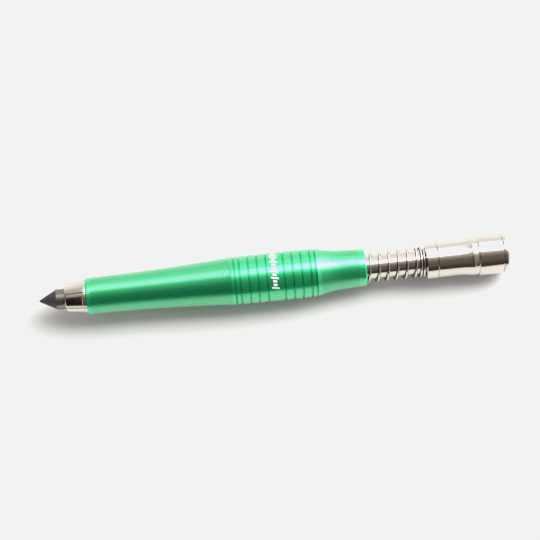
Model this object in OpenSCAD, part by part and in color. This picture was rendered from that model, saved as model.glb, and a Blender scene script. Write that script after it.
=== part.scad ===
// Clutch lead holder for 5.6 mm lead, lying along X with its point toward -X. Millimetres.
// Stations along the axis are counted from the barrel's mouth. The origin is on the axis, in the middle of
// the grip band.

/* [Lead] */
// diameter of the lead
lead_d = 5.6; // [5:0.1:6]
// length of the lead from its point to its rear end
lead_len = 80; // [40:1:95]
// how far the point stands out of the barrel's mouth
lead_out = 12.95; // [8:0.05:14]
// half angle of the sharpened cone, degrees
lead_half_angle = 28.5; // [20:0.5:45]
// radius of the blunted point
lead_tip_r = 0.35; // [0.1:0.05:1]

/* [Jaws] */
// how far the jaws stand out of the mouth
jaw_out = 5.75; // [4:0.05:8]
// outer diameter of the jaws at their front rim
jaw_front_d = 7.6; // [6.8:0.1:8.4]
// outer diameter of the jaws where they enter the mouth
jaw_back_d = 8.9; // [8:0.1:9.4]
// width of each slit between two jaws
slit_w = 0.28; // [0.2:0.02:0.6]
// number of jaws
jaw_count = 6; // [6:1:6]
// station of the thin root that each jaw arm bends at
jaw_root = 22; // [16:1:30]
// radial running gap at the lead
lead_gap = 0.03; // [0.02:0.01:0.1]

/* [Barrel] */
// length of the barrel
barrel_len = 75.5; // [60:0.5:100]
// diameter at the mouth
mouth_d = 10; // [9:0.1:12]
// largest diameter, on the plain land of the grip band
band_d = 13.3; // [12:0.1:15]
// station where the grip band starts
band_start = 40; // [35:0.5:45]
// station where the grip band ends
band_end = 61.9; // [55:0.1:66]
// diameter at the rear end
rear_d = 10.1; // [9:0.1:12]
// depth of the band's turned grooves
groove_depth = 0.25; // [0.1:0.05:0.5]
// width of the band's turned grooves
groove_w = 0.5; // [0.2:0.05:0.8]
// bore of the barrel behind its mouth
barrel_bore_d = 7.7; // [7:0.1:8]

/* [Spring] */
// outer diameter of the spring
spring_d = 8.66; // [8.2:0.02:8.7]
// thickness of the spring wire
wire_d = 0.68; // [0.4:0.02:0.7]

/* [Push knob] */
// station of the knob's front face
knob_front = 91.6; // [88:0.1:96]
// diameter of the knob's front flange
flange_d = 10; // [9:0.1:11]
// diameter of the knob's waist
waist_d = 9.8; // [9:0.1:11]
// diameter of the rear cap
cap_d = 11; // [10.6:0.1:12]
// station of the knob's rear end
knob_end = 114; // [108:0.1:120]
// how far the clutch travels when the knob is pushed
push_travel = 6; // [3:0.5:8]

/* [Which part to draw] */
// one node, or all of them

/* [Hidden] */
band_mid = (band_start + band_end) / 2;
rear_swell = 0.5;
lead_r = lead_d / 2;
tube_in = 2.88;
tube_out = 3.05;
neck_out = 3.35;
jaw_in = lead_r + lead_gap;
arm_in = 2.98;
arm_out = 3.3;
seat_slope = 0.163;
seat_gap = 0.03;
guide_start = 62;
guide_end = barrel_len - push_travel;
counter_r = 4.42;
seam_start = 104.6;
seam_end = 105.8;
plug_start = 112.6;
socket_r = 4.0;
spigot_r = 3.95;
ring_r = 5.3;
spigot_start = 99.3;
pointer_r = 3.2;
blade_t = 0.4;

// turned profile: each point is [radius, station]
module turned(points) {
    to_origin() rotate([0, 90, 0]) rotate_extrude($fn = 96) polygon(points);
}

// the same, with the mouth of the barrel left at zero
module turned_here(points) {
    rotate([0, 90, 0]) rotate_extrude($fn = 96) polygon(points);
}

module to_origin() { translate([-band_mid, 0, 0]) children(); }

// outline of the barrel: a slow swell to the band, then a short waist and a straight rear
function front_r(x) = mouth_d / 2 + (band_d / 2 - 0.05 - mouth_d / 2) * pow(x / band_start, 1.85);
function rear_r(x) = rear_d / 2
    + rear_swell * (1 - pow((x - band_end) / (barrel_len - band_end), 1.5))
    + (band_d / 2 - 0.05 - rear_d / 2 - rear_swell) * pow(max(0, 1 - (x - band_end) / 7.5), 2);
land_half = 2.3;
function band_r(x) = abs(x - band_mid) <= land_half ? band_d / 2
    : band_d / 2 - 0.1 * pow((abs(x - band_mid) - land_half) / 8.7, 2);
groove_at = [for (s = [-1, 1]) for (k = s < 0 ? [4, 3, 2, 1, 0] : [0, 1, 2, 3, 4])
    band_mid + s * (land_half + (k < 4 ? k * 2.4 : 8.6))];
edge_r = 0.55;

module barrel() color("seagreen") turned(concat(
    // mouth cone, bore, guide for the tube and the spring's pocket
    [[guide_bore(), guide_end], [guide_bore(), guide_start],
     [barrel_bore_d / 2, guide_start - 0.6],
     [barrel_bore_d / 2, seat_end()], [jaw_back_d / 2, 0], [mouth_d / 2 - 0.12, 0]],
    [for (i = [0:32]) let (x = 0.12 + i * (band_start - 0.5 - 0.12) / 32) [front_r(x), x]],
    [for (g = groove_at) for (p = [[-0.5, 0], [-0.28, 1], [0.28, 1], [0.5, 0]])
        let (x = g + p[0] * groove_w) [band_r(x) - p[1] * groove_depth, x]],
    [for (i = [0:24]) let (x = band_end + 0.3 + i * (barrel_len - edge_r - band_end - 0.3) / 24)
        [rear_r(x), x]],
    [for (a = [15:15:90]) [rear_r(barrel_len - edge_r) - edge_r * (1 - cos(a)),
        barrel_len - edge_r + edge_r * sin(a)]],
    [[counter_r + 0.06, barrel_len], [counter_r, barrel_len - 0.06], [counter_r, guide_end]]));

function guide_bore() = tube_out + 0.05;
function seat_end() = (jaw_back_d - barrel_bore_d) / 2 / seat_slope;

// outline that the six jaws are slit from
module jaw_blank() turned_here([
    [jaw_in, 1.5], [jaw_in, -jaw_out + 0.15], [jaw_in + 0.12, -jaw_out],
    [jaw_front_d / 2 - 0.35, -jaw_out], [jaw_front_d / 2 - 0.08, -jaw_out + 0.18],
    [jaw_front_d / 2, -jaw_out + 0.5], [jaw_back_d / 2 - 0.13, -1.05],
    [jaw_back_d / 2 - 0.13, -0.95], [jaw_back_d / 2, -0.85],
    [jaw_back_d / 2, -0.3], [jaw_back_d / 2 - seat_gap, -0.1], [jaw_back_d / 2 - seat_gap, 0],
    [3.58, (jaw_back_d / 2 - seat_gap - 3.58) / seat_slope], [arm_out, 6],
    [arm_out, jaw_root], [arm_in, jaw_root], [arm_in, 2.2]]);

module jaw(k) color("gainsboro") to_origin() rotate([60 * (k - 1), 0, 0]) intersection() {
    jaw_blank();
    rotate([90, 0, 90]) translate([0, 0, -20]) linear_extrude(60)
        polygon([[slit_w, 0], [slit_w + 12, 12 * tan(30)], [slit_w + 12, -12 * tan(30)]]);
}

module collet_base() color("gainsboro") turned([
    [arm_in, jaw_root + 0.08], [arm_out, jaw_root + 0.08], [arm_out, 28],
    [tube_out + 0.01, 28], [tube_out + 0.01, 24], [arm_in, 24]]);

module collet_tube() color("silver") turned([
    [tube_in, 24.05], [tube_out, 24.05], [tube_out, 98.5], [tube_in, 98.5]]);

module lead() color("dimgray") turned(concat(
    [[0, -lead_out]],
    [for (a = [20:20:60]) [lead_tip_r * sin(a), -lead_out + lead_tip_r * (1 - cos(a))]],
    [[lead_r, -lead_out + (lead_r - lead_tip_r * 0.87) / tan(lead_half_angle) + lead_tip_r * 0.5],
     [lead_r, lead_len - lead_out - 0.2], [lead_r - 0.2, lead_len - lead_out],
     [0, lead_len - lead_out]]));

// spring: turns are counted from its rear end, close wound at both ends
turns = 11.2;
rear_close = 0.72;
rear_ease = 1.1;
front_close = 0.7;
step = 18;
sides = 8;
coil_r = (spring_d - wire_d) / 2;
coil_front = guide_end + 0.02 + wire_d / 2;
coil_back = knob_front - 0.04 - wire_d / 2;
rear_wound = rear_close + rear_ease;
open_turns = turns - 4;
open_pitch = (coil_back - coil_front - rear_wound - 2 * front_close) / open_turns;
function coil_x(t) = coil_back - (t < 1 ? rear_close * t
    : t < 2 ? rear_close + rear_ease * (t - 1)
    : t < 2 + open_turns ? rear_wound + open_pitch * (t - 2)
    : rear_wound + open_pitch * open_turns + front_close * (t - 2 - open_turns));
module spring() color("silver") to_origin() {
    n = floor(turns * 360 / step);
    points = [for (i = [0:n]) let (t = i * step / 360, a = 56 + i * step)
        for (j = [0:sides - 1]) let (b = j * 360 / sides)
            [coil_x(t) + wire_d / 2 * sin(b),
             (coil_r + wire_d / 2 * cos(b)) * cos(a),
             (coil_r + wire_d / 2 * cos(b)) * sin(a)]];
    walls = [for (i = [0:n - 1]) for (j = [0:sides - 1]) let (k = (j + 1) % sides)
        [i * sides + j, i * sides + k, (i + 1) * sides + k, (i + 1) * sides + j]];
    polyhedron(points, concat(walls, [[for (j = [sides - 1:-1:0]) j]],
        [[for (j = [0:sides - 1]) n * sides + j]]));
}

module tube_collar() color("gainsboro") turned([
    [tube_out + 0.01, barrel_len + 0.05], [neck_out, barrel_len + 0.05], [neck_out, knob_front],
    [flange_d / 2 - 0.15, knob_front], [flange_d / 2, knob_front + 0.15],
    [flange_d / 2, 94.65], [flange_d / 2 - 0.15, 94.8], [3.9, 94.8],
    [3.9, 98.5], [tube_out + 0.01, 98.5]]);

// the sleeve flares toward its rear, where the cap's spigot goes in
module knob_sleeve() color("gainsboro") turned(concat(
    [[3.91, 94.82], [waist_d / 2 - 0.1, 94.82], [waist_d / 2 + 0.05, 94.97], [waist_d / 2, 95.6]],
    [for (i = [0:10]) let (u = i / 10) [waist_d / 2 + 0.43 * pow(u, 2.2),
        100.3 + u * 4.0]],
    [[waist_d / 2 + 0.28, seam_start - 0.02], [socket_r, seam_start - 0.02],
     [socket_r, 98.75], [3.91, 98.75]]));

module seam_ring() color("gainsboro") turned([
    [spigot_r + 0.02, seam_start], [ring_r - 0.15, seam_start], [ring_r - 0.03, seam_start + 0.15],
    [ring_r, (seam_start + seam_end) / 2], [ring_r - 0.03, seam_end - 0.15], [ring_r - 0.2, seam_end - 0.02],
    [spigot_r + 0.02, seam_end - 0.02]]);

module rear_cap() color("gainsboro") turned([
    [pointer_r + 0.02, spigot_start], [spigot_r - 0.15, spigot_start],
    [spigot_r, spigot_start + 0.15], [spigot_r, seam_end],
    [cap_d / 2 - 0.3, seam_end], [cap_d / 2, seam_end + 0.3], [cap_d / 2, plug_start - 0.2],
    [cap_d / 2 - 0.2, plug_start - 0.02], [pointer_r + 0.02, plug_start - 0.02]]);

module end_plug() color("gainsboro") turned(concat(
    [[0, 109.2], [pointer_r, 109.2], [pointer_r, plug_start],
     [cap_d / 2 - 0.2, plug_start], [cap_d / 2 - 0.05, plug_start + 0.15]],
    [for (a = [0:15:90]) [cap_d / 2 - 0.75 + 0.7 * cos(a), knob_end - 0.7 + 0.7 * sin(a)]],
    [[0, knob_end]]));

// pointer that sharpens the lead: a cone bored in a plug, with a blade along one side
cone_base = spigot_start + 1.2;
cone_len = (lead_r + 0.05) / tan(lead_half_angle);
module cut_frame() {
    to_origin() translate([cone_base + cone_len, 0, 0]) rotate([0, lead_half_angle, 0]) children();
}
module pointer_body() color("burlywood") difference() {
    turned([[lead_r + 0.05, spigot_start + 0.1], [pointer_r, spigot_start + 0.1],
        [pointer_r, 109], [0.6, 109], [0.6, cone_base + cone_len - 1],
        [lead_r + 0.05, cone_base]]);
    // flat that the blade lies on, along the cone's upper side
    cut_frame() translate([-12, -4, 0]) cube([14.5, 8, 6]);
    cut_frame() translate([0.8, -1.1, -2]) cylinder(h = 3, r = 0.41, $fn = 32);
}
module pointer_blade() color("lightsteelblue") difference() {
    cut_frame() translate([-4.2, -1.7, 0.02]) cube([5.9, 1.8, blade_t]);
    cut_frame() translate([0.8, -1.1, -1]) cylinder(h = 3, r = 0.43, $fn = 32);
}
module blade_screw() color("silver") cut_frame() translate([0.8, -1.1, 0]) union() {
    translate([0, 0, -1.9]) cylinder(h = 1.9 + blade_t + 0.2, r = 0.4, $fn = 32);
    translate([0, 0, blade_t + 0.03]) cylinder(h = 0.3, r = 0.58, $fn = 32);
}

barrel();
collet_base();
jaw(1);  // jaw_1
jaw(2);  // jaw_2
jaw(3);  // jaw_3
jaw(4);  // jaw_4
jaw(5);  // jaw_5
jaw(6);  // jaw_6
collet_tube();
lead();
spring();
tube_collar();
knob_sleeve();
seam_ring();
rear_cap();
end_plug();
pointer_body();
pointer_blade();
blade_screw();
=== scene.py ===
"""Clutch lead holder for 5.6 mm lead, lying on a pale floor.

Every outline is a list of (radius, station) points in millimetres. A station is a distance along the holder's
axis, 0 at the barrel's mouth and growing towards the push knob, so the jaws and the lead's point are below 0.
"""
import math

import bmesh
import bpy
from mathutils import Euler, Matrix, Vector


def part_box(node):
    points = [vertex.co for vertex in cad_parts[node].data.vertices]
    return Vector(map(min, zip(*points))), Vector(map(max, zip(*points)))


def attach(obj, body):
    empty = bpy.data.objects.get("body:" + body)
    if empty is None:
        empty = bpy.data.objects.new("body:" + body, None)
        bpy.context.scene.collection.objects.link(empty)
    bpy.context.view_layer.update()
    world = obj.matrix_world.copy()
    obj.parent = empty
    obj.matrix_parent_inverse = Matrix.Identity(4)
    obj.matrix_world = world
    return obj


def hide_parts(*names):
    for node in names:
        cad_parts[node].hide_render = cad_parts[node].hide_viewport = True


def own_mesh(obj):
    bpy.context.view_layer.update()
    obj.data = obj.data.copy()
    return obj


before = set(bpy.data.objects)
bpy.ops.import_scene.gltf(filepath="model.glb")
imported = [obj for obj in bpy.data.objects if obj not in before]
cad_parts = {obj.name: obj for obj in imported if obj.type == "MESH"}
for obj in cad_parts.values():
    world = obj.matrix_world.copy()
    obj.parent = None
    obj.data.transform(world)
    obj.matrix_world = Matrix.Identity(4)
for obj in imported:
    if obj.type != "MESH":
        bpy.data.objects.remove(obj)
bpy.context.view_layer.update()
MM = 0.001

# ---------------------------------------------------------------- where things are
barrel_lo, barrel_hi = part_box("barrel")
MOUTH_X = barrel_lo.x  # station 0 is the barrel's mouth
AXIS_Z = (barrel_lo.z + barrel_hi.z) / 2
BARREL_LEN = (barrel_hi.x - barrel_lo.x) / MM
BAND_R = (barrel_hi.z - barrel_lo.z) / 2 / MM

MOUTH_R, REAR_R, REAR_SWELL = 5.0, 5.05, 0.5
BAND_START, BAND_END = 40.0, 61.9
BAND_MID = (BAND_START + BAND_END) / 2
LAND_HALF = 2.3
GROOVE_AT = sorted(
    BAND_MID + side * (LAND_HALF + step)
    for side in (-1, 1)
    for step in (0.0, 2.4, 4.8, 7.2, 8.6)
)
GROOVE_DEPTH = 0.32
HATCH_LAYER = "hatch"
TRAVEL = 6.0
GUIDE_END = BARREL_LEN - TRAVEL
KNOB_FRONT = 91.6
KNOB_END = 114.0
LEAD_R = 2.8
LEAD_OUT = 12.95
LEAD_END = 80.0 - LEAD_OUT
TIP_R = 0.35
TIP_EDGE_R, TIP_DEPTH = TIP_R * 0.87, TIP_R * 0.5  # where the tip's arc meets the cone
CONE_ANGLE = math.radians(28.5)
CONE_LEN = (LEAD_R - TIP_EDGE_R) / math.tan(CONE_ANGLE) + TIP_DEPTH
CONE_END = CONE_LEN - LEAD_OUT


def put(r_mm, angle, x_mm):
    """A point at a radius, an angle from +Y towards +Z, and a station."""
    return (
        MOUTH_X + x_mm * MM,
        r_mm * MM * math.cos(angle),
        AXIS_Z + r_mm * MM * math.sin(angle),
    )


# ---------------------------------------------------------------- meshes
def make(name, verts, faces, material, body, sharp, replaces=()):
    """A smooth piece with sharp edges past an angle in degrees, riding on a body."""
    mesh = bpy.data.meshes.new(name)
    mesh.from_pydata(verts, [], faces)
    mesh.validate()
    mesh.update()
    mesh.polygons.foreach_set("use_smooth", [True] * len(mesh.polygons))
    mesh.set_sharp_from_angle(angle=math.radians(sharp))
    obj = bpy.data.objects.new(name, mesh)
    bpy.context.scene.collection.objects.link(obj)
    mesh.materials.append(material)
    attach(obj, body)
    if replaces:
        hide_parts(*replaces)
    return obj


def lathe(profile, columns, twist=None, ripple=None, closed=True):
    """Turns a profile round the axis. An end at radius 0 becomes a single point.

    twist gives the turn of the grid at a station, and ripple a change of radius at a station and column.
    """
    verts, rings, faces = [], [], []
    for r, x in profile:
        if r < 1e-6:
            rings.append([len(verts)])
            verts.append(put(0, 0, x))
            continue
        turn = twist(x) if twist else 0.0
        ring = []
        for j in range(columns):
            extra = ripple(x, j, r) if ripple else 0.0
            ring.append(len(verts))
            verts.append(put(r + extra, turn + 2 * math.pi * j / columns, x))
        rings.append(ring)
    pairs = list(zip(rings, rings[1:]))
    if closed and len(rings[0]) > 1 and len(rings[-1]) > 1:
        pairs.append((rings[-1], rings[0]))
    for a, b in pairs:
        for j in range(columns):
            k = (j + 1) % columns
            if len(a) == 1:
                faces.append((a[0], b[j], b[k]))
            elif len(b) == 1:
                faces.append((a[j], b[0], a[k]))
            else:
                faces.append((a[j], b[j], b[k], a[k]))
    return verts, faces


def facing_out(obj):
    """Turns the faces' normals outwards."""
    bm = bmesh.new()
    bm.from_mesh(obj.data)
    bmesh.ops.recalc_face_normals(bm, faces=bm.faces)
    bm.to_mesh(obj.data)
    bm.free()


def rounded(points, steps=3):
    """The profile with an arc across each corner that has a third number, the length the arc cuts off."""
    out = []
    for i, point in enumerate(points):
        if len(point) == 2:
            out.append(point)
            continue
        corner = Vector(point[:2])
        before = Vector(points[i - 1][:2]) - corner
        after = Vector(points[(i + 1) % len(points)][:2]) - corner
        cut = min(point[2], before.length * 0.45, after.length * 0.45)
        start = corner + before.normalized() * cut
        end = corner + after.normalized() * cut
        for step in range(steps + 1):
            t = step / steps
            place = start * (1 - t) ** 2 + corner * 2 * t * (1 - t) + end * t * t
            out.append((place.x, place.y))
    return out


# ---------------------------------------------------------------- materials
def nodes_of(material):
    material.use_nodes = True
    tree = material.node_tree
    return tree, tree.links, tree.nodes["Principled BSDF"]


def feed(tree, socket, value):
    """Puts a number, a colour or another node's output into a socket."""
    if isinstance(value, tuple):
        socket.default_value = (*value, 1)
    elif isinstance(value, (int, float)):
        socket.default_value = value
    else:
        tree.links.new(value, socket)


def maths(tree, kind, first, second):
    node = tree.nodes.new("ShaderNodeMath")
    node.operation = kind
    feed(tree, node.inputs[0], first)
    feed(tree, node.inputs[1], second)
    return node.outputs[0]


def stretched(tree, scale, detail=3.0, rough=0.6, distortion=0.0):
    """Noise in object space, stretched by scale, which has one number for each axis."""
    coord = tree.nodes.new("ShaderNodeTexCoord")
    mapping = tree.nodes.new("ShaderNodeMapping")
    mapping.inputs["Scale"].default_value = scale
    noise = tree.nodes.new("ShaderNodeTexNoise")
    noise.inputs["Scale"].default_value = 1.0
    noise.inputs["Detail"].default_value = detail
    noise.inputs["Roughness"].default_value = rough
    noise.inputs["Distortion"].default_value = distortion
    tree.links.new(coord.outputs["Object"], mapping.inputs["Vector"])
    tree.links.new(mapping.outputs["Vector"], noise.inputs["Vector"])
    return noise.outputs["Fac"]


def spread(tree, value, low, high, from_low=0.3, from_high=0.7, kind="LINEAR"):
    """Maps one range of a value onto another. The range given by default is where most of a noise lies."""
    node = tree.nodes.new("ShaderNodeMapRange")
    node.interpolation_type = kind
    node.inputs["From Min"].default_value = from_low
    node.inputs["From Max"].default_value = from_high
    node.inputs["To Min"].default_value = low
    node.inputs["To Max"].default_value = high
    tree.links.new(value, node.inputs["Value"])
    return node.outputs["Result"]


def blend_colours(tree, factor, first, second):
    node = tree.nodes.new("ShaderNodeMix")
    node.data_type = "RGBA"
    feed(tree, node.inputs["Factor"], factor)
    feed(tree, node.inputs["A"], first)
    feed(tree, node.inputs["B"], second)
    return node.outputs["Result"]


def bump(tree, height, distance, strength, after=None):
    """A bump with its height in metres, on top of another bump if one is given."""
    node = tree.nodes.new("ShaderNodeBump")
    node.inputs["Distance"].default_value = distance
    node.inputs["Strength"].default_value = strength
    tree.links.new(height, node.inputs["Height"])
    if after:
        tree.links.new(after, node.inputs["Normal"])
    return node.outputs["Normal"]


def off_axis(tree):
    """The distance from the holder's axis, and the position along it."""
    coord = tree.nodes.new("ShaderNodeTexCoord")
    flat = tree.nodes.new("ShaderNodeVectorMath")
    flat.operation = "MULTIPLY_ADD"
    flat.inputs[1].default_value = (0, 1, 1)
    flat.inputs[2].default_value = (0, 0, -AXIS_Z)
    tree.links.new(coord.outputs["Object"], flat.inputs[0])
    length = tree.nodes.new("ShaderNodeVectorMath")
    length.operation = "LENGTH"
    tree.links.new(flat.outputs[0], length.inputs[0])
    split = tree.nodes.new("ShaderNodeSeparateXYZ")
    tree.links.new(coord.outputs["Object"], split.inputs[0])
    return length.outputs["Value"], split.outputs["X"]


def band_groove(tree):
    """1 on the floors of the band's grooves, 0 on the skin beside them; it places painted shade there and a
    thinner clear skin.
    """
    radius, x = off_axis(tree)
    deep = spread(tree, radius, 1, 0, (BAND_R - GROOVE_DEPTH) * MM, (BAND_R - 0.17) * MM)
    first, last = MOUTH_X + (BAND_START - 0.4) * MM, MOUTH_X + (BAND_END + 0.4) * MM
    run_in = 0.05 * MM
    past_first = spread(tree, x, 0, 1, first, first + run_in)
    before_last = spread(tree, x, 1, 0, last - run_in, last)
    return maths(tree, "MULTIPLY", maths(tree, "MULTIPLY", deep, past_first), before_last)


def anodised(name, colour, deep, hatch_shade_colour, groove_shade_colour, roughness):
    """Dyed oxide over aluminium: part bright metal, part matt from the etch, under a clear hard skin.

    Turning lines run round the axis. Shade is painted into the colour at the bottoms of the hatch's cuts and
    on the floors of the band's grooves, which also get a thinner clear skin.
    """
    material = bpy.data.materials.new(name)
    tree, links, bsdf = nodes_of(material)
    lines = stretched(tree, (5200, 90, 90))
    cloud = stretched(tree, (160, 260, 260))
    hatch = tree.nodes.new("ShaderNodeAttribute")
    hatch.attribute_name = HATCH_LAYER
    hatch_share = spread(tree, hatch.outputs["Fac"], 0, 1, 0.15, 0.85)
    groove = band_groove(tree)
    dye_and_painted_shade = blend_colours(tree, spread(tree, cloud, 0, 1), colour, deep)
    # painted shade: darker colours at the bottoms of the hatch's cuts and on the floors of the band's grooves
    dye_and_painted_shade = blend_colours(tree, hatch_share, dye_and_painted_shade, hatch_shade_colour)
    dye_and_painted_shade = blend_colours(tree, groove, dye_and_painted_shade, groove_shade_colour)
    links.new(dye_and_painted_shade, bsdf.inputs["Base Color"])
    bsdf.inputs["Metallic"].default_value = 0.86
    links.new(spread(tree, lines, roughness * 0.92, roughness * 1.08), bsdf.inputs["Roughness"])
    links.new(spread(tree, groove, 1.0, 0.45, 0, 1), bsdf.inputs["Coat Weight"])
    bsdf.inputs["Coat IOR"].default_value = 1.9
    bsdf.inputs["Coat Roughness"].default_value = roughness * 0.36
    normal = bump(tree, lines, 0.0000015, 0.5)
    links.new(normal, bsdf.inputs["Normal"])
    links.new(normal, bsdf.inputs["Coat Normal"])
    return material


def plated(name, colour, warm, roughness, line_scale, line_depth, smudge=0.03):
    """Bright plate over a turned or drawn part, with fine lines, faint smudges and a second, warmer tone."""
    material = bpy.data.materials.new(name)
    tree, links, bsdf = nodes_of(material)
    bsdf.inputs["Metallic"].default_value = 1.0
    lines = stretched(tree, line_scale)
    cloud = stretched(tree, (300, 300, 300), detail=4.0, distortion=0.4)
    links.new(blend_colours(tree, spread(tree, cloud, 0, 1), colour, warm), bsdf.inputs["Base Color"])
    smudged = spread(tree, cloud, roughness, roughness + smudge)
    lined = spread(tree, lines, 0.0, 0.03)
    links.new(maths(tree, "ADD", smudged, lined), bsdf.inputs["Roughness"])
    links.new(bump(tree, lines, line_depth, 0.6), bsdf.inputs["Normal"])
    return material


def spring_wire(name):
    """Plated wire with shade painted in: nearly black over all but the outermost strip of the wire, away from
    the axis.
    """
    material = plated(name, (0.80, 0.76, 0.70), (0.76, 0.71, 0.64), 0.08, (900, 900, 900), 0.000002)
    tree, links, bsdf = nodes_of(material)
    radius, _ = off_axis(tree)
    bright = bsdf.inputs["Base Color"].links[0].from_socket
    # painted shade: the colour goes nearly black inside a radius a little short of the wire's outer edge
    inside = spread(tree, radius, 1, 0, 4.12 * MM, 4.28 * MM)
    links.new(blend_colours(tree, inside, bright, (0.045, 0.036, 0.027)), bsdf.inputs["Base Color"])
    return material


def graphite(name):
    """Fired graphite: the drawn stick is slick and grey, the sharpened cone matt, dark and crumbly."""
    material = bpy.data.materials.new(name)
    tree, links, bsdf = nodes_of(material)
    grain = stretched(tree, (3000, 3000, 3000), detail=4.0, rough=0.7)
    patch = stretched(tree, (900, 1500, 1500), detail=4.0, distortion=0.5)
    _, x = off_axis(tree)
    cone_end = MOUTH_X + CONE_END * MM
    stick = spread(tree, x, 0, 1, cone_end - 0.03 * MM, cone_end + 0.03 * MM)
    crumbs = spread(tree, grain, 0, 1, 0.38, 0.64)
    cone = blend_colours(tree, crumbs, (0.026, 0.022, 0.021), (0.115, 0.104, 0.102))
    drawn = blend_colours(tree, spread(tree, patch, 0, 1), (0.20, 0.195, 0.175), (0.25, 0.24, 0.22))
    links.new(blend_colours(tree, stick, cone, drawn), bsdf.inputs["Base Color"])
    links.new(spread(tree, stick, 0.3, 0.9, 0, 1), bsdf.inputs["Metallic"])
    bsdf.inputs["Specular IOR Level"].default_value = 0.4
    slick = spread(tree, stick, 0.5, 0.24, 0, 1)
    links.new(maths(tree, "ADD", slick, spread(tree, grain, -0.06, 0.1)), bsdf.inputs["Roughness"])
    flats = bump(tree, patch, 0.00006, 0.55)
    links.new(bump(tree, grain, 0.00002, 0.7, flats), bsdf.inputs["Normal"])
    return material


def plain(name, colour, metallic, roughness, line_scale, depth):
    """One colour broken up by fine lines or specks in its tone, roughness and relief."""
    material = bpy.data.materials.new(name)
    tree, links, bsdf = nodes_of(material)
    lines = stretched(tree, line_scale)
    bsdf.inputs["Metallic"].default_value = metallic
    dark = tuple(c * 0.82 for c in colour)
    links.new(blend_colours(tree, spread(tree, lines, 0, 1), colour, dark), bsdf.inputs["Base Color"])
    links.new(spread(tree, lines, roughness * 0.8, roughness * 1.25), bsdf.inputs["Roughness"])
    links.new(bump(tree, lines, depth, 0.6), bsdf.inputs["Normal"])
    return material


# the last two colours are painted shade for the hatch's cuts and the band's grooves
GREEN = anodised(
    "green_anodised", (0.008, 0.66, 0.255), (0.006, 0.61, 0.23),
    hatch_shade_colour=(0.004, 0.36, 0.13), groove_shade_colour=(0.006, 0.48, 0.18), roughness=0.34,
)
NICKEL = plated("nickel_turned", (0.79, 0.745, 0.685), (0.77, 0.715, 0.645), 0.05, (6500, 60, 60), 0.0000012)
NICKEL_JAW = plated(
    "nickel_jaw", (0.80, 0.76, 0.70), (0.74, 0.69, 0.62), 0.10, (140, 3600, 3600), 0.000006, smudge=0.08
)
NICKEL_WIRE = spring_wire("nickel_wire")
GRAPHITE = graphite("graphite")
BRASS = plain("brass_machined", (0.72, 0.50, 0.22), 1.0, 0.25, (6000, 80, 80), 0.000003)
BLADE = plain("blade_ground", (0.55, 0.56, 0.57), 1.0, 0.22, (200, 4000, 200), 0.000003)
PRINT = plain("white_print", (0.86, 0.87, 0.85), 0.0, 0.5, (1500, 1500, 1500), 0.000004)

# ---------------------------------------------------------------- barrel
HATCH_STARTS = 30
HATCH_SIDES = 6
BARREL_COLUMNS = HATCH_STARTS * HATCH_SIDES
HATCH_TURN = 0.315  # radians of turn per mm
HATCH_DEPTH = 0.026  # half the depth of a cut
BORE_R = 3.85  # round the jaws' arms
GUIDE_R = 3.1  # round the collet's tube
POCKET_R = 4.42  # round the spring
SKIN_R = 4.6  # the hatched skin is beyond this radius, and the bore inside it
FRONT_HATCH = (0.9, 39.2)
REAR_HATCH = (62.7, 73.6)


def front_r(x):
    """The slow swell from the mouth to the band."""
    return MOUTH_R + (BAND_R - 0.05 - MOUTH_R) * (x / BAND_START) ** 1.85


def rear_r(x):
    """The short fall behind the band and the slow taper to the rear end."""
    u = (x - BAND_END) / (BARREL_LEN - BAND_END)
    v = max(0.0, 1 - (x - BAND_END) / 7.5)
    return REAR_R + REAR_SWELL * (1 - u**1.5) + (BAND_R - 0.05 - REAR_R - REAR_SWELL) * v * v


def band_r(x):
    """Straight along the land, and falling a little from it to both ends of the band."""
    off = abs(x - BAND_MID) - LAND_HALF
    return BAND_R if off <= 0 else BAND_R - 0.1 * (off / 8.7) ** 2


def barrel_profile():
    """Over the outside from the mouth to the rear end, and back along the bore."""
    step = 0.25
    rows = [(4.45, 0.0), (MOUTH_R - 0.14, 0.0), (MOUTH_R - 0.05, 0.03), (MOUTH_R + 0.005, 0.12)]
    x = 0.35
    while x < BAND_START - 0.45:
        rows.append((front_r(x), x))
        x += step
    near_side = [(-0.25, 0.0), (-0.22, 0.04), (-0.19, 0.26), (-0.13, GROOVE_DEPTH)]
    groove = near_side + [(-dx, depth) for dx, depth in reversed(near_side)]
    for i, g in enumerate(GROOVE_AT):
        rows += [(band_r(g + dx) - depth, g + dx) for dx, depth in groove]
        if i + 1 < len(GROOVE_AT):
            gap = GROOVE_AT[i + 1] - g
            rows += [(band_r(g + f * gap), g + f * gap) for f in (0.3, 0.5, 0.7)]
    x = BAND_END + 0.4
    edge = 0.55
    while x < BARREL_LEN - edge:
        rows.append((rear_r(x), x))
        x += step
    top = rear_r(BARREL_LEN - edge)
    for a in range(0, 91, 15):
        t = math.radians(a)
        rows.append((top - edge * (1 - math.cos(t)), BARREL_LEN - edge + edge * math.sin(t)))
    rows += [(4.48, BARREL_LEN), (POCKET_R, BARREL_LEN - 0.06), (POCKET_R, GUIDE_END), (GUIDE_R, GUIDE_END)]
    rows += [(GUIDE_R, 62.0), (BORE_R, 61.4), (BORE_R, 3.7)]
    return rows


def hatched_at(x):
    """1 inside the hatched stretches, 0 outside, with a short run-out at both ends."""
    best = 0.0
    for lo, hi in (FRONT_HATCH, REAR_HATCH):
        run_in = min(1.0, max(0.0, (x - lo) / 0.5))
        run_out = min(1.0, max(0.0, (hi - x) / 0.5))
        best = max(best, run_in * run_out)
    return best


def barrel_twist(x):
    """The grid turns with the hatch, along the hatched stretches only."""
    hatched = sum(min(max(x, lo), hi) - lo for lo, hi in (FRONT_HATCH, REAR_HATCH))
    return -HATCH_TURN * hatched


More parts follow.
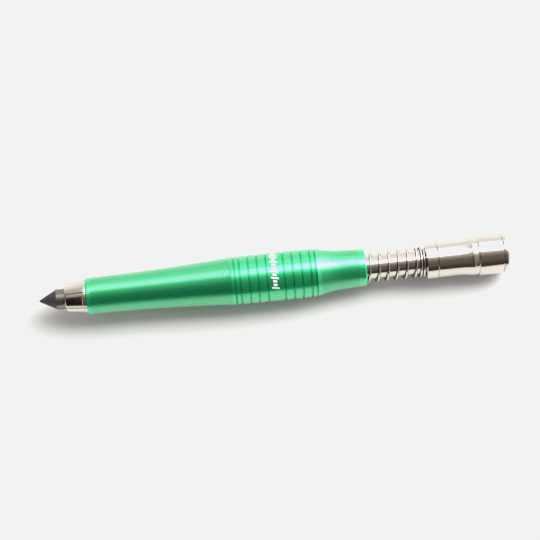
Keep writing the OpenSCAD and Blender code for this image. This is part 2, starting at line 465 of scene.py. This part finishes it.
def barrel_ripple(x, j, r):
    """The hatch: HATCH_STARTS shallow cuts side by side round the outside, none in the bore."""
    if r < SKIN_R:
        return 0.0
    phase = 2 * math.pi * (j % HATCH_SIDES) / HATCH_SIDES
    return -HATCH_DEPTH * (1 - math.cos(phase)) * hatched_at(x)


verts, faces = lathe(barrel_profile(), BARREL_COLUMNS, barrel_twist, barrel_ripple)
barrel = make("barrel_skin", verts, faces, GREEN, "barrel_body", 38, ["barrel"])
# how deep each point is in the hatch, for the painted shade in its cuts: 0 on the skin, 1 at the bottom of a
# cut
depths = [
    barrel_ripple(x, j, r) / (-2 * HATCH_DEPTH) for r, x in barrel_profile() for j in range(BARREL_COLUMNS)
]
barrel.data.attributes.new(HATCH_LAYER, "FLOAT", "POINT").data.foreach_set("value", depths)
facing_out(barrel)

# plain printed marks on the centre land
MARK_RISE = 0.012
MARK_THICK = 0.01
MARK_MID = BAND_MID - 0.3
MARK_GAP = 3.0  # degrees from one mark to the next
MARK_PATTERN = "|.||.|..|.|..|"


def mark(outline):
    """A thin raised patch on the land. The outline is (station, degrees round from +Y)."""
    n = len(outline)
    verts = [put(BAND_R + MARK_RISE, math.radians(a), x) for x, a in outline]
    verts += [put(BAND_R + MARK_RISE - MARK_THICK, math.radians(a), x) for x, a in outline]
    faces = [tuple(range(n)), tuple(range(2 * n - 1, n - 1, -1))]
    faces += [(i, i + n, (i + 1) % n + n, (i + 1) % n) for i in range(n)]
    return verts, faces


def marks():
    """A strip of slanted bars and small squares along the land's girth."""
    verts, faces = [], []
    angle, steps = 30.0, 4
    for kind in MARK_PATTERN:
        # half its length along the axis in mm, then its width and its lean round the land in degrees
        half, wide, lean = (1.02, 4.0, 3.4) if kind == "|" else (0.52, 5.4, 1.4)
        shares = [step / steps - 0.5 for step in range(steps + 1)]
        side = [(MARK_MID + 2 * half * share, angle + lean * share) for share in shares]
        patch_verts, patch_faces = mark(side + [(x, a + wide) for x, a in reversed(side)])
        faces += [tuple(i + len(verts) for i in face) for face in patch_faces]
        verts += patch_verts
        angle += wide + MARK_GAP
    return verts, faces


verts, faces = marks()
facing_out(make("land_marks", verts, faces, PRINT, "barrel_body", 30))

# ---------------------------------------------------------------- jaws
JAW_OUT, JAW_FRONT_R, JAW_BACK_R = 5.75, 3.8, 4.45
JAW_ROOT = 22.0
SLIT = 0.28
GRIP_R = 2.83
ARM_R, ARM_BORE = 3.3, 2.98
SEAT_END_R = 3.58
SEAT_R = JAW_BACK_R - 0.03
SEAT_SLOPE = 0.163


def jaw_profile():
    """The grip inside, the front rim, the stepped outside, and the arm behind the conical seat."""
    return rounded([
        (GRIP_R, 1.5), (GRIP_R, -JAW_OUT + 0.15, 0.05), (GRIP_R + 0.12, -JAW_OUT, 0.03),
        (JAW_FRONT_R - 0.35, -JAW_OUT, 0.06), (JAW_FRONT_R - 0.06, -JAW_OUT + 0.22, 0.08),
        (JAW_FRONT_R, -JAW_OUT + 0.5, 0.1), (JAW_FRONT_R + 0.26, -3.4), (JAW_BACK_R - 0.13, -1.08, 0.02),
        (JAW_BACK_R - 0.13, -0.96, 0.02), (JAW_BACK_R, -0.85, 0.05), (JAW_BACK_R, -0.3, 0.06),
        (SEAT_R, -0.1), (SEAT_R, 0.0), (SEAT_END_R, (SEAT_R - SEAT_END_R) / SEAT_SLOPE), (ARM_R, 6.0),
        (ARM_R, JAW_ROOT), (ARM_BORE, JAW_ROOT), (ARM_BORE, 2.2),
    ])


def jaw(k):
    """One of the six jaws: the turned outline between two slits with parallel sides."""
    profile, columns, centre = jaw_profile(), 16, math.radians(60 * (k - 1))
    verts, faces = [], []
    for r, x in profile:
        half = math.radians(30) - math.asin(SLIT / 2 / r)
        for j in range(columns + 1):
            verts.append(put(r, centre + half * (2 * j / columns - 1), x))
    wide, n = columns + 1, len(profile)
    for i in range(n):
        a, b = i * wide, (i + 1) % n * wide
        faces += [(a + j, b + j, b + j + 1, a + j + 1) for j in range(columns)]
    faces.append(tuple(i * wide for i in range(n)))
    faces.append(tuple(i * wide + columns for i in reversed(range(n))))
    facing_out(make(f"jaw_{k}_skin", verts, faces, NICKEL_JAW, f"jaw_{k}_body", 30, [f"jaw_{k}"]))


for number in range(1, 7):
    jaw(number)

# ---------------------------------------------------------------- lead
LEAD_COLUMNS = 96


def lead_profile():
    """From the rounded tip up the cone and along the stick to its flat rear end."""
    rows = [(0.0, -LEAD_OUT)]
    rows += [
        (TIP_R * math.sin(math.radians(a)), -LEAD_OUT + TIP_R * (1 - math.cos(math.radians(a))))
        for a in (20, 40, 60)
    ]
    start, steps = TIP_DEPTH - LEAD_OUT, 44
    for i in range(1, steps + 1):
        u = i / steps
        rows.append((TIP_EDGE_R + (LEAD_R - TIP_EDGE_R) * u, start + (CONE_LEN - TIP_DEPTH) * u))
    # a ring close behind the cone keeps the stick's shading straight
    rows += [(LEAD_R, CONE_END + 0.18), (LEAD_R, LEAD_END - 0.2), (LEAD_R - 0.2, LEAD_END), (0.0, LEAD_END)]
    return rows


def lead_ripple(x, j, r):
    """Fine rings and shallow flats that a pointer leaves on the cone, and the slight wear of its tip."""
    if x > CONE_END - 0.02 or r < 0.05:
        return 0.0
    share = min(1.0, r / 0.6) * min(1.0, (CONE_END - x) / 0.25)
    a = 2 * math.pi * j / LEAD_COLUMNS
    ring = 0.010 * math.sin(x * 19 + 0.7 * math.sin(a * 2))
    flat = 0.016 * math.sin(a * 7 + x * 1.3) + 0.012 * math.sin(a * 4 - x * 2.1)
    return (ring + flat - 0.03) * share


verts, faces = lathe(lead_profile(), LEAD_COLUMNS, ripple=lead_ripple, closed=False)
facing_out(make("lead_stick", verts, faces, GRAPHITE, "lead_stick", 40, ["lead"]))

# ---------------------------------------------------------------- spring
TURNS = 11.2
WIRE_R = 0.34
COIL_R = 3.99
COIL_START = 56  # degrees round from +Y, at the wire's rear end
REAR_CLOSE, REAR_EASE, FRONT_CLOSE = 0.72, 1.1, 0.7
COIL_FRONT = GUIDE_END + 0.02 + WIRE_R
COIL_BACK = KNOB_FRONT - 0.04 - WIRE_R
REAR_WOUND = REAR_CLOSE + REAR_EASE
OPEN_TURNS = TURNS - 4
OPEN_PITCH = (COIL_BACK - COIL_FRONT - REAR_WOUND - 2 * FRONT_CLOSE) / OPEN_TURNS


def coil_x(t):
    """Station of the wire after t turns from its rear end: close wound at both ends, open between."""
    if t < 1:
        return COIL_BACK - REAR_CLOSE * t
    if t < 2:
        return COIL_BACK - REAR_CLOSE - REAR_EASE * (t - 1)
    if t < 2 + OPEN_TURNS:
        return COIL_BACK - REAR_WOUND - OPEN_PITCH * (t - 2)
    return COIL_BACK - REAR_WOUND - OPEN_PITCH * OPEN_TURNS - FRONT_CLOSE * (t - 2 - OPEN_TURNS)


def smooth_coil_x(t):
    """coil_x with its bends softened, as wound wire has them."""
    reach = 0.22
    return sum(coil_x(min(TURNS, max(0.0, t + reach * s / 4))) for s in range(-4, 5)) / 9


def spring():
    """The wire's round section swept along its helix, with flat ends."""
    per_turn, sides = 56, 14
    n = int(TURNS * per_turn)
    verts, faces = [], []
    for i in range(n + 1):
        t = i / per_turn
        a = math.radians(COIL_START + 360 * t)
        station = smooth_coil_x(t)
        for j in range(sides):
            b = 2 * math.pi * j / sides
            verts.append(put(COIL_R + WIRE_R * math.cos(b), a, station + WIRE_R * math.sin(b)))
    for i in range(n):
        for j in range(sides):
            k = (j + 1) % sides
            faces.append((i * sides + j, i * sides + k, (i + 1) * sides + k, (i + 1) * sides + j))
    faces.append(tuple(range(sides - 1, -1, -1)))
    faces.append(tuple(n * sides + j for j in range(sides)))
    return verts, faces


verts, faces = spring()
coil = make("spring_coil", verts, faces, NICKEL_WIRE, "barrel_body", 40, ["spring"])
facing_out(coil)
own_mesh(coil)

# ---------------------------------------------------------------- push knob
TUBE_R = 3.05
NECK_R = 3.35
SPIGOT_R = 3.9
FLANGE_R = 5.0
WAIST_R = 4.9
FLARE = 0.43
RING_R = 5.3
CAP_R = 5.5
CAP_BORE = 3.22
EDGE_R = 0.7
FLANGE_END, SEAM_START, SEAM_END, PLUG_START = 94.8, 104.6, 105.8, 112.6
COLLAR_END, SPIGOT_START = 98.5, 99.3
FLARE_START, FLARE_LEN = 100.3, 4.0

KNOB_COLUMNS = 128


def turned(name, profile, body, node, sharp=30, closed=True):
    """A nickel piece turned from a profile, in place of a CAD node."""
    verts, faces = lathe(profile, KNOB_COLUMNS, closed=closed)
    facing_out(make(name, verts, faces, NICKEL, body, sharp, [node]))


def collar_profile():
    """A neck inside the spring, a flange chamfered in front, and a spigot for the sleeve."""
    return rounded([
        (TUBE_R + 0.01, BARREL_LEN + 0.05), (NECK_R, BARREL_LEN + 0.05, 0.04), (NECK_R, KNOB_FRONT, 0.05),
        (FLANGE_R - 0.36, KNOB_FRONT), (FLANGE_R - 0.04, KNOB_FRONT + 0.22), (FLANGE_R, KNOB_FRONT + 0.3),
        (FLANGE_R, FLANGE_END - 0.06, 0.1), (FLANGE_R - 0.22, FLANGE_END), (SPIGOT_R, FLANGE_END),
        (SPIGOT_R, COLLAR_END), (TUBE_R + 0.01, COLLAR_END),
    ])


def sleeve_profile():
    """A small bead in front, a straight waist, and a flare up to the seam ring."""
    front = FLANGE_END + 0.02
    rows = [
        (SPIGOT_R + 0.01, front), (WAIST_R - 0.14, front), (WAIST_R - 0.02, front + 0.04),
        (WAIST_R + 0.07, front + 0.16), (WAIST_R + 0.05, front + 0.38), (WAIST_R + 0.01, front + 0.98),
        (WAIST_R, 97.0),
    ]
    steps = 20
    for i in range(steps + 1):
        u = i / steps
        rows.append((WAIST_R + FLARE * u**2.2, FLARE_START + FLARE_LEN * u))
    rows += [(WAIST_R + FLARE, SEAM_START - 0.08), (WAIST_R + FLARE - 0.03, SEAM_START - 0.02)]
    rows += [(4.0, SEAM_START - 0.02), (4.0, COLLAR_END + 0.25), (SPIGOT_R + 0.01, COLLAR_END + 0.25)]
    return rows


def ring_profile():
    """A narrow ring whose face slopes down to the cap."""
    return [
        (3.97, SEAM_START), (RING_R + 0.02, SEAM_START), (RING_R + 0.06, SEAM_START + 0.05),
        (RING_R + 0.05, SEAM_START + 0.1), (RING_R - 0.09, SEAM_END - 0.08), (RING_R - 0.1, SEAM_END - 0.02),
        (3.97, SEAM_END - 0.02),
    ]


def cap_profile():
    """The long spigot inside the sleeve, the straight cap, and the recess at its rear edge."""
    recess = PLUG_START - 0.26
    return rounded([
        (CAP_BORE, SPIGOT_START), (3.95, SPIGOT_START, 0.12), (3.95, SEAM_END), (CAP_R - 0.18, SEAM_END),
        (CAP_R, SEAM_END + 0.12, 0.05), (CAP_R, recess, 0.03), (CAP_R - 0.5, recess),
        (CAP_R - 0.5, PLUG_START - 0.02), (CAP_BORE, PLUG_START - 0.02),
    ])


def plug_profile():
    """A stub inside the cap and a disc with a round outer edge."""
    rows = [
        (0.0, 109.2), (3.2, 109.2), (3.2, PLUG_START), (CAP_R - 0.15, PLUG_START),
        (CAP_R - 0.07, PLUG_START + 0.05), (CAP_R - 0.05, PLUG_START + 0.14),
    ]
    for degrees in range(0, 91, 9):
        a = math.radians(degrees)
        rows.append((CAP_R - 0.75 + EDGE_R * math.cos(a), KNOB_END - EDGE_R + EDGE_R * math.sin(a)))
    return rows + [(3.9, KNOB_END), (0.9, KNOB_END), (0.0, KNOB_END)]


turned("collar_skin", collar_profile(), "clutch", "tube_collar", sharp=12)
turned("sleeve_skin", sleeve_profile(), "clutch", "knob_sleeve")
turned("seam_ring_skin", ring_profile(), "cap_carrier", "seam_ring")
turned("cap_skin", cap_profile(), "cap", "rear_cap")
turned("end_plug_skin", plug_profile(), "cap", "end_plug", closed=False)

# inner pieces keep their CAD shape
for node, material in (
    ("collet_base", NICKEL), ("collet_tube", NICKEL), ("pointer_body", BRASS),
    ("pointer_blade", BLADE), ("blade_screw", BLADE),
):
    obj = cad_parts[node]
    obj.data.materials.clear()
    obj.data.materials.append(material)

# ---------------------------------------------------------------- floor
# the holder rests on the land of its band and on the rear edge of its cap
LAND_END, CAP_FOOT = BAND_MID + LAND_HALF, PLUG_START - 0.2
FLOOR_TILT = math.atan((BAND_R - CAP_R) / (CAP_FOOT - LAND_END))
FLOOR_HALF = 4.0  # metres
FLOOR_GAP = 0.00001  # metres
floor_mesh = bpy.data.meshes.new("floor")
corners = [(FLOOR_HALF * x, FLOOR_HALF * y, 0) for x, y in ((-1, -1), (1, -1), (1, 1), (-1, 1))]
floor_mesh.from_pydata(corners, [], [(0, 1, 2, 3)])
floor = bpy.data.objects.new("floor", floor_mesh)
bpy.context.scene.collection.objects.link(floor)
floor.location = (MOUTH_X + LAND_END * MM, 0, AXIS_Z - BAND_R * MM - FLOOR_GAP)
floor.rotation_euler = Euler((0, -FLOOR_TILT, 0))
floor_material = bpy.data.materials.new("floor")
_, _, bsdf = nodes_of(floor_material)
bsdf.inputs["Base Color"].default_value = (0.64, 0.64, 0.642, 1)
bsdf.inputs["Roughness"].default_value = 0.6
bsdf.inputs["Specular IOR Level"].default_value = 0.2
floor_mesh.materials.append(floor_material)

# ---------------------------------------------------------------- light
# The world is a soft dome. Each table gives a brightness or colour for angles in degrees round the X axis:
# 0 is the front horizon, 90 straight up, 180 the back horizon, and below 0 is under the floor.
# a long light box just behind the top
LAMP = [(-180, 0), (84, 0), (93, 0.5), (100, 8.6), (118, 8.6), (127, 1.6), (147, 1.25), (155, 0), (180, 0)]
# the dim room in front
FRONT = [
    (-180, (0, 0, 0)), (2, (0, 0, 0)), (7, (0.040, 0.035, 0.032)), (25, (0.072, 0.060, 0.056)),
    (42, (0.150, 0.118, 0.092)), (62, (0.178, 0.146, 0.125)), (74, (0.29, 0.26, 0.235)), (84, (0, 0, 0)),
    (180, (0, 0, 0)),
]
# the ceiling and the room behind
CEILING = [
    (-180, (0, 0, 0)), (74, (0, 0, 0)), (84, (0.50, 0.46, 0.42)), (120, (0.58, 0.55, 0.51)),
    (147, (0.72, 0.69, 0.66)), (154, (0, 0, 0)), (180, (0, 0, 0)),
]
# the pale table, below and just above both horizons
TABLE = [
    (-180, (0.86, 0.86, 0.86)), (-8, (0.86, 0.86, 0.86)), (2, (1.05, 1.03, 1.0)), (7, (0, 0, 0)),
    (147, (0, 0, 0)), (154, (1.08, 1.05, 1.01)), (180, (1.08, 1.06, 1.03)),
]
# a window beyond the knob's end, and the bright room round it
WINDOW = [(-180, 0.6), (85, 0.6), (97, 6.0), (150, 6.0), (172, 2.0), (180, 0.8)]
# an even light from the front that only matt surfaces get
FILL = [(-180, 0), (0, 0), (6, 0.40), (75, 0.40), (90, 0), (180, 0)]
LAMP_PEAK = max(value for _, value in LAMP)
LAMP_TINT = (1.0, 0.99, 0.96)
WINDOW_PEAK = max(value for _, value in WINDOW)
BACKDROP = (0.87, 0.87, 0.87)  # what the camera sees past the floor
# where each light fades along the X part of a direction, which runs from -1 at the point to 1 at the knob
LAMP_SPAN = (-0.33, 0.35)
WINDOW_SPAN = (0.4, 0.65)
KNOB_POLE = (0.88, 0.97)
# the same, counted from the middle towards the point
FRONT_END = (0.15, 0.35)
ROOM_END = (0.42, 0.65)


def ramp_round(tree, share, points):
    """A colour ramp over the angle round the X axis, share running from 0 at -180 to 1 at 180 degrees."""
    node = tree.nodes.new("ShaderNodeValToRGB")
    tree.links.new(share, node.inputs["Fac"])
    stops = node.color_ramp.elements
    for i, (degrees, value) in enumerate(points):
        colour = value if isinstance(value, tuple) else (value, value, value)
        if i == 0:
            stop = stops[0]
            stop.position = 0.0
        elif i == len(points) - 1:
            stop = stops[-1]
            stop.position = 1.0
        else:
            stop = stops.new(degrees / 360 + 0.5)
        stop.color = (*colour, 1)
    return node.outputs["Color"]


def fade(tree, value, span, low, high):
    """A smooth step from low to high while a value crosses a span."""
    return spread(tree, value, low, high, *span, kind="SMOOTHSTEP")


def light(tree, colour, strength):
    """Light of one colour and strength, each a fixed value or another node's output."""
    node = tree.nodes.new("ShaderNodeBackground")
    feed(tree, node.inputs["Color"], colour)
    feed(tree, node.inputs["Strength"], strength)
    return node.outputs[0]


def together(tree, lights):
    """The sum of several lights."""
    total = lights[0]
    for other in lights[1:]:
        node = tree.nodes.new("ShaderNodeAddShader")
        tree.links.new(total, node.inputs[0])
        tree.links.new(other, node.inputs[1])
        total = node.outputs[0]
    return total


def world_light():
    """The dome's light for each direction. The camera sees a plain backdrop in its place."""
    world = bpy.data.worlds.new("studio")
    bpy.context.scene.world = world
    world.use_nodes = True
    tree = world.node_tree
    tree.nodes.clear()

    coord = tree.nodes.new("ShaderNodeTexCoord")
    split = tree.nodes.new("ShaderNodeSeparateXYZ")
    tree.links.new(coord.outputs["Generated"], split.inputs[0])
    along = split.outputs["X"]
    front = maths(tree, "MULTIPLY", split.outputs["Y"], -1)
    angle = maths(tree, "ARCTAN2", split.outputs["Z"], front)
    share = maths(tree, "ADD", maths(tree, "DIVIDE", angle, 2 * math.pi), 0.5)

    to_point = maths(tree, "MULTIPLY", along, -1)
    room = fade(tree, to_point, ROOM_END, 1.0, 0.08)
    window_share = fade(tree, along, WINDOW_SPAN, 0.0, 1.0)
    off_pole = fade(tree, along, KNOB_POLE, 1.0, 0.1)
    lamp_share = maths(tree, "MULTIPLY", fade(tree, along, LAMP_SPAN, 0.0, 1.0), off_pole)
    table_share = maths(tree, "MULTIPLY", room, maths(tree, "SUBTRACT", 1.0, window_share))
    window_share = maths(tree, "MULTIPLY", window_share, off_pole)

    # a colour ramp holds no more than 1, so the lamp and the window are tables of shares of their peaks
    lamp_ramp = [(a, tuple(value / LAMP_PEAK * c for c in LAMP_TINT)) for a, value in LAMP]
    window_ramp = [(a, value / WINDOW_PEAK) for a, value in WINDOW]
    path = tree.nodes.new("ShaderNodeLightPath")
    room_light = together(tree, [
        light(tree, ramp_round(tree, share, lamp_ramp), maths(tree, "MULTIPLY", lamp_share, LAMP_PEAK)),
        light(tree, ramp_round(tree, share, FRONT), fade(tree, to_point, FRONT_END, 1.0, 0.1)),
        light(tree, ramp_round(tree, share, CEILING), room),
        light(tree, ramp_round(tree, share, TABLE), table_share),
        light(tree, ramp_round(tree, share, window_ramp), maths(tree, "MULTIPLY", window_share, WINDOW_PEAK)),
        light(tree, ramp_round(tree, share, FILL), path.outputs["Is Diffuse Ray"]),
    ])
    mix = tree.nodes.new("ShaderNodeMixShader")
    tree.links.new(path.outputs["Is Camera Ray"], mix.inputs["Fac"])
    tree.links.new(room_light, mix.inputs[1])
    tree.links.new(light(tree, BACKDROP, 1.0), mix.inputs[2])
    out = tree.nodes.new("ShaderNodeOutputWorld")
    tree.links.new(mix.outputs[0], out.inputs["Surface"])


world_light()
bpy.context.scene.view_settings.view_transform = "Standard"
bpy.context.scene.view_settings.look = "None"
# white is held a little under full, as on a pale page
WHITE = 0.888
bpy.context.scene.view_settings.use_curve_mapping = True
tone = bpy.context.scene.view_settings.curve_mapping
tone.extend = "HORIZONTAL"
all_channels = tone.curves[3]
all_channels.points[0].location = (0.0, 0.0)
all_channels.points[1].location = (1.0, WHITE)
tone.update()

# ---------------------------------------------------------------- camera
CAMERA_FAR = 341.6  # mm from the axis
CAMERA_UP = 74.0  # degrees above the horizon
CAMERA_ROLL = 5.95  # degrees
CAMERA_LENS = 84.2  # mm
CAMERA_STATION = 42.6
AIM_STATION = 49.72
AIM_RISE = 1.95  # mm above the axis in the picture
elevation = math.radians(CAMERA_UP)
back = Vector((0, -math.cos(elevation), math.sin(elevation)))
up = Vector((0, math.sin(elevation), math.cos(elevation)))
camera_at = Vector((MOUTH_X + CAMERA_STATION * MM, 0, AXIS_Z)) + back * CAMERA_FAR * MM
aim = Vector((MOUTH_X + AIM_STATION * MM, 0, AXIS_Z)) + up * AIM_RISE * MM
camera = bpy.data.objects.new("camera", bpy.data.cameras.new("camera"))
bpy.context.scene.collection.objects.link(camera)
look = (aim - camera_at).normalized()
side = look.cross(up).normalized()
true_up = side.cross(look).normalized()
roll = math.radians(CAMERA_ROLL)
cam_x = side * math.cos(roll) - true_up * math.sin(roll)
cam_y = side * math.sin(roll) + true_up * math.cos(roll)
camera.matrix_world = Matrix(
    [
        (cam_x.x, cam_y.x, -look.x, camera_at.x),
        (cam_x.y, cam_y.y, -look.y, camera_at.y),
        (cam_x.z, cam_y.z, -look.z, camera_at.z),
        (0, 0, 0, 1),
    ]
)
camera.data.sensor_width = 36.0
camera.data.lens = CAMERA_LENS
camera.data.clip_start, camera.data.clip_end = 0.01, 20
bpy.context.scene.camera = camera
